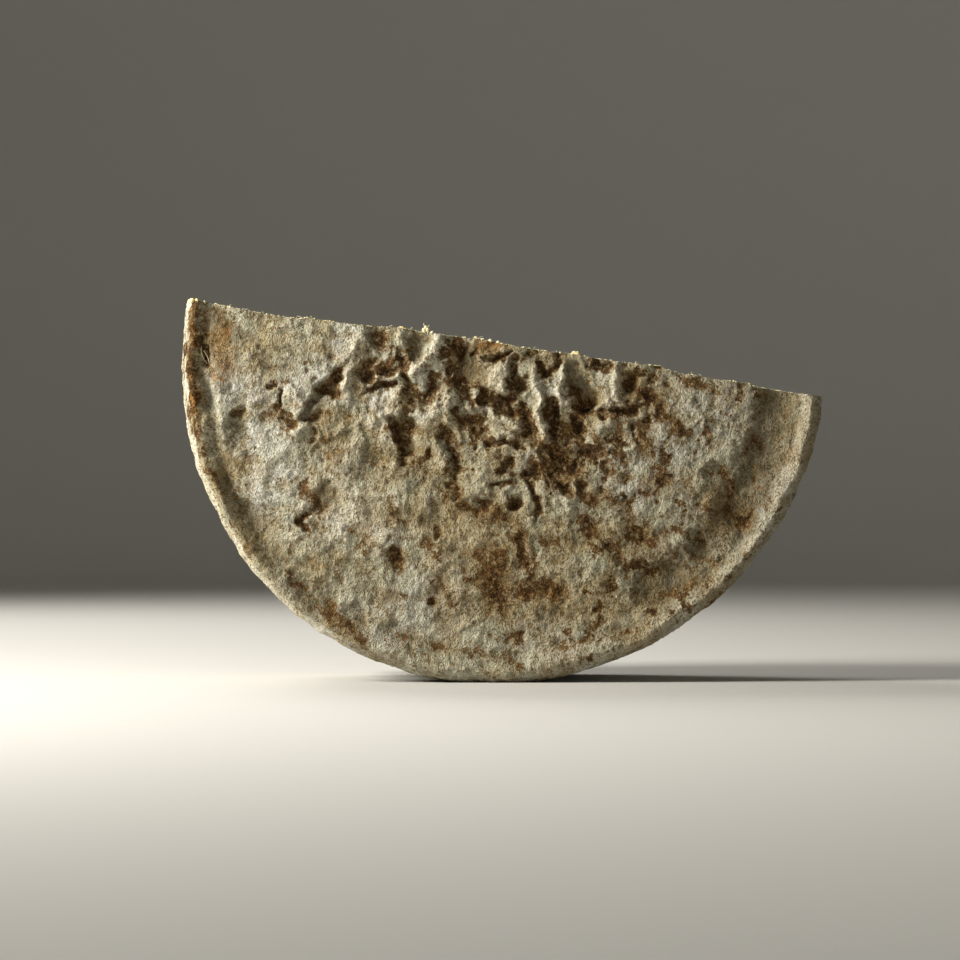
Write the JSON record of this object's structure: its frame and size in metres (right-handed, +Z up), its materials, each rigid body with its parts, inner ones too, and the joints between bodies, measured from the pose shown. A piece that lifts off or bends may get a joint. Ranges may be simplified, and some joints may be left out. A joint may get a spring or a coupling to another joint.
{
  "type": "caerphilly cheese half wheel",
  "caption": "Half of a mould-ripened cheese wheel with a folded, sunken grey rind, rounded rims and a crumbly knife-cut face, standing on its rim.",
  "frame": {"origin": "on the surface it stands on, under the middle of its box", "axes": "+Z up, +X along the cut towards its lower end, -Y out of the shown rind face"},
  "size_m": [0.2402, 0.0836, 0.1425],
  "materials": {
    "rind": "dry velvety mould over a thin brown rind",
    "paste": "moist crumbly curd, creamier under the rind"
  },
  "bodies": {
    "root": {"half_wheel": "rind"}
  },
  "joints": []
}
